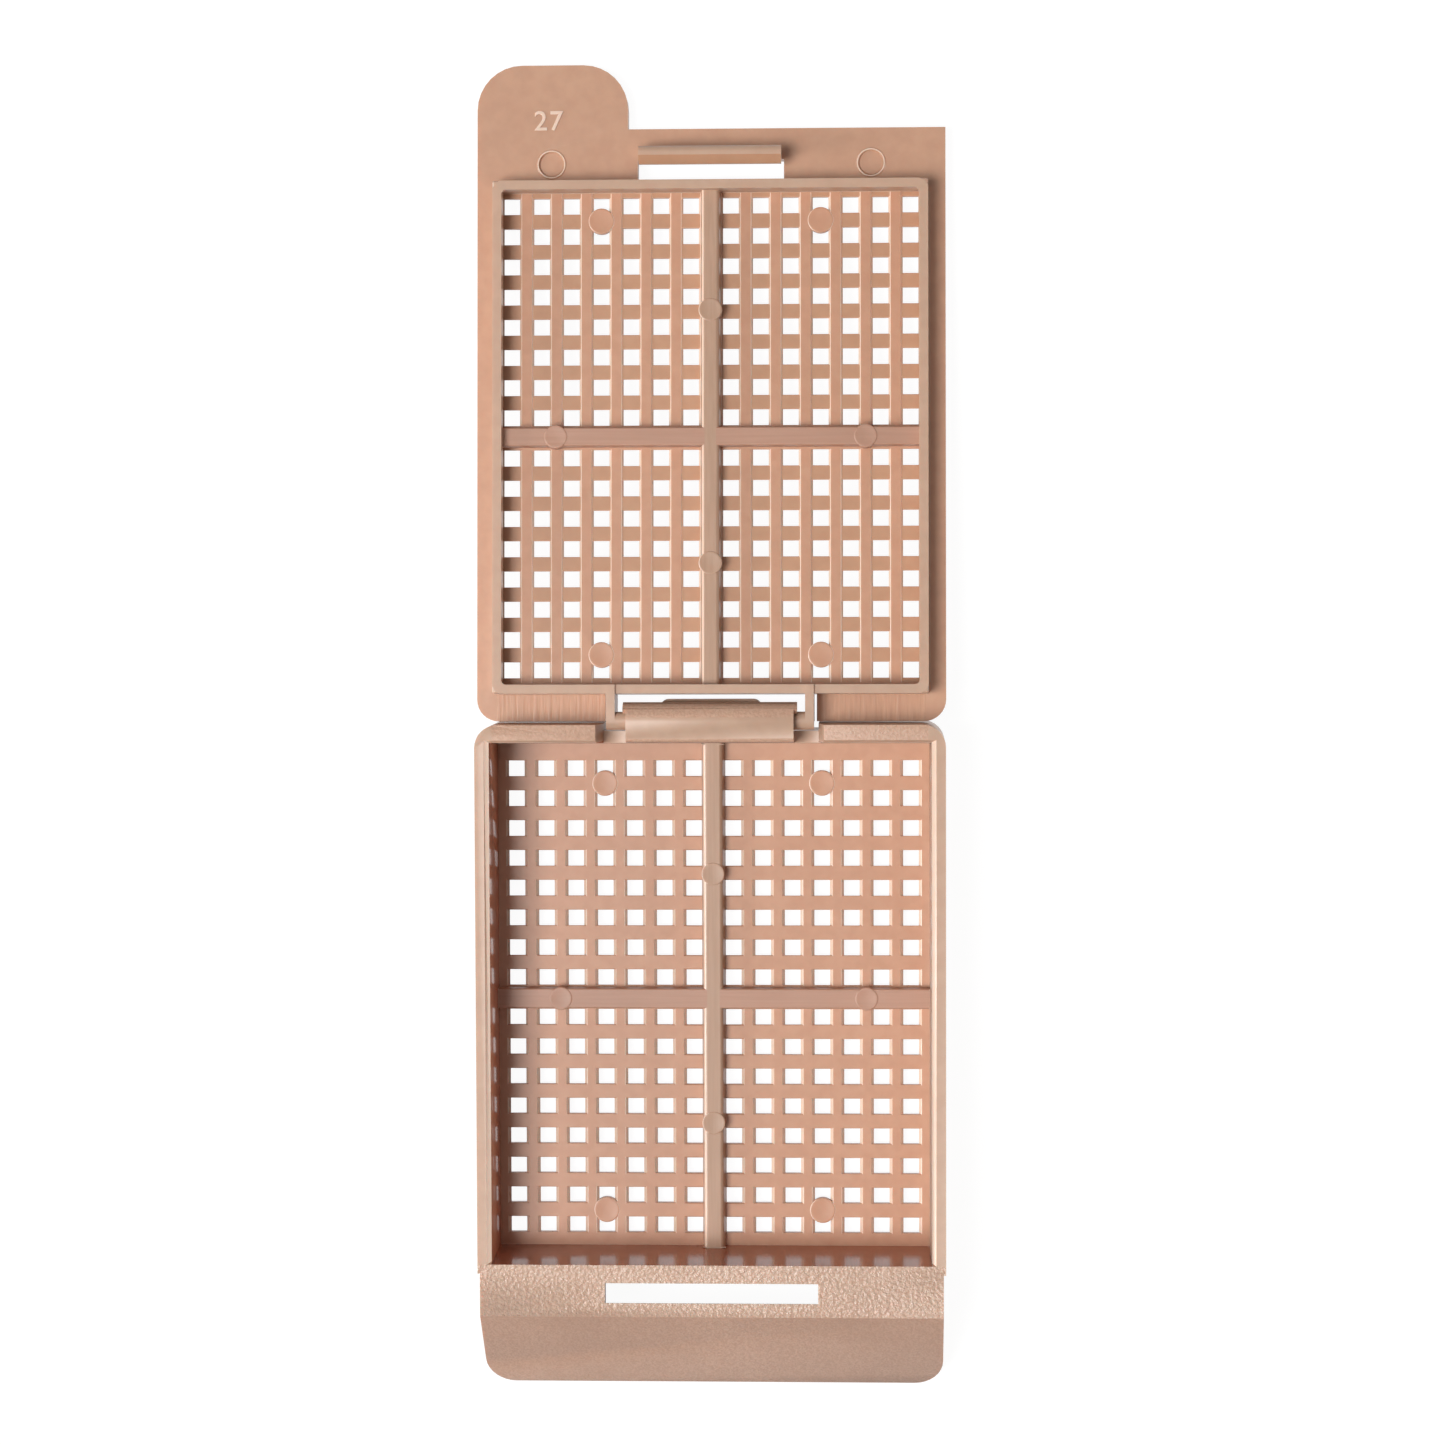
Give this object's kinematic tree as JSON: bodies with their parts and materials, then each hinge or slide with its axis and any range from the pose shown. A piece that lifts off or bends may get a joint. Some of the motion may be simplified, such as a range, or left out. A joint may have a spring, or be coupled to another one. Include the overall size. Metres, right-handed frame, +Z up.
{
  "type": "tissue cassette",
  "caption": "Perforated moulded tray with a sloped writing end and a hinged perforated snap lid with a finger tab, lying open.",
  "frame": {"origin": "middle of the base's perforated floor, on its underside", "axes": "+Z up out of the open tray, +Y from the writing end towards the hinge, +X to the right seen from the writing end"},
  "size_m": [0.0282, 0.0802, 0.006],
  "materials": {
    "base_plastic": "satin moulded acetal",
    "lid_plastic": "satin moulded acetal"
  },
  "bodies": {
    "base": {"base": "base_plastic"},
    "lid": {"lid": "lid_plastic"}
  },
  "joints": [
    {"name": "lid_hinge", "type": "hinge", "parent": "base", "child": "lid", "pos_m": [0, 0.01706, 0.00488], "axis": [1, 0, 0], "range_deg": [0, 183.85]}
  ]
}
